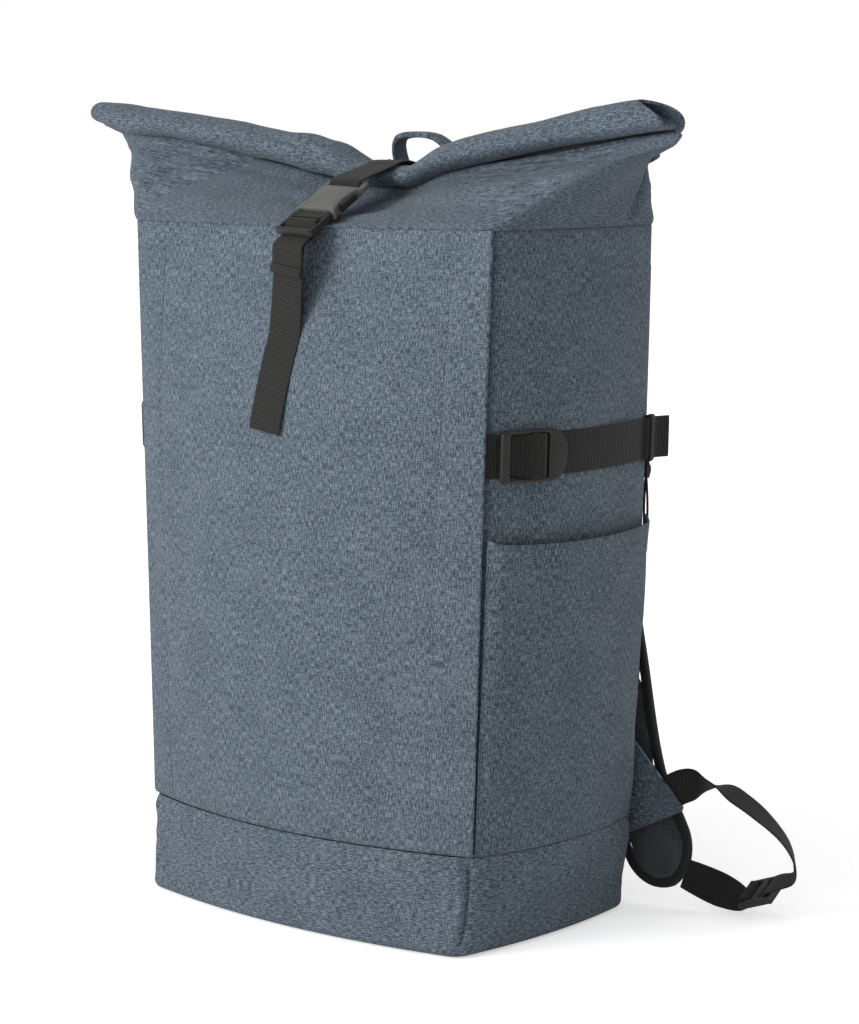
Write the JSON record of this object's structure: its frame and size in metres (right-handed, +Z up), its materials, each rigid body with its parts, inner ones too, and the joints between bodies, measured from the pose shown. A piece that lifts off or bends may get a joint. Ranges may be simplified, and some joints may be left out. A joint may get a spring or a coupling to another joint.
{
  "type": "rolltop backpack",
  "caption": "Upright rolltop backpack of heather cloth: rolled and strapped top, front panel, side pockets and compression straps, padded shoulder straps.",
  "frame": {"origin": "middle of the flat base where the backpack stands", "axes": "+Z up to the rolled top, the front faces -Y and the shoulder straps are on +Y"},
  "size_m": [0.5612, 0.2722, 0.5859],
  "materials": {
    "cloth": "matt heather weave",
    "webbing": "ribbed",
    "plastic": "moulded, satin",
    "padding": "spacer mesh"
  },
  "bodies": {
    "root": {"base_band": "cloth", "base_panel": "cloth", "front_panel": "cloth", "side_panel_right": "cloth", "side_panel_left": "cloth", "back_panel": "cloth", "collar": "cloth", "rolled_top": "cloth", "side_pocket_right": "cloth", "side_pocket_left": "cloth", "carry_handle": "cloth", "shoulder_yoke": "cloth", "wing_tab_right": "cloth", "wing_tab_left": "cloth", "closure_strap": "webbing", "over_roll_strap": "webbing", "side_strap_right": "webbing", "side_strap_left": "webbing", "strap_keeper_right": "webbing", "strap_keeper_left": "webbing", "shoulder_webbing_right": "webbing", "shoulder_webbing_left": "webbing", "lower_webbing_right": "webbing", "lower_webbing_left": "webbing", "zip_tape": "webbing", "zip_puller": "webbing", "buckle_male": "plastic", "buckle_female": "plastic", "side_slider_right": "plastic", "side_slider_left": "plastic", "ladder_lock_right": "plastic", "ladder_lock_left": "plastic", "zip_slider": "plastic", "back_pad": "padding", "shoulder_pad_right": "padding", "shoulder_pad_left": "padding"}
  },
  "joints": []
}
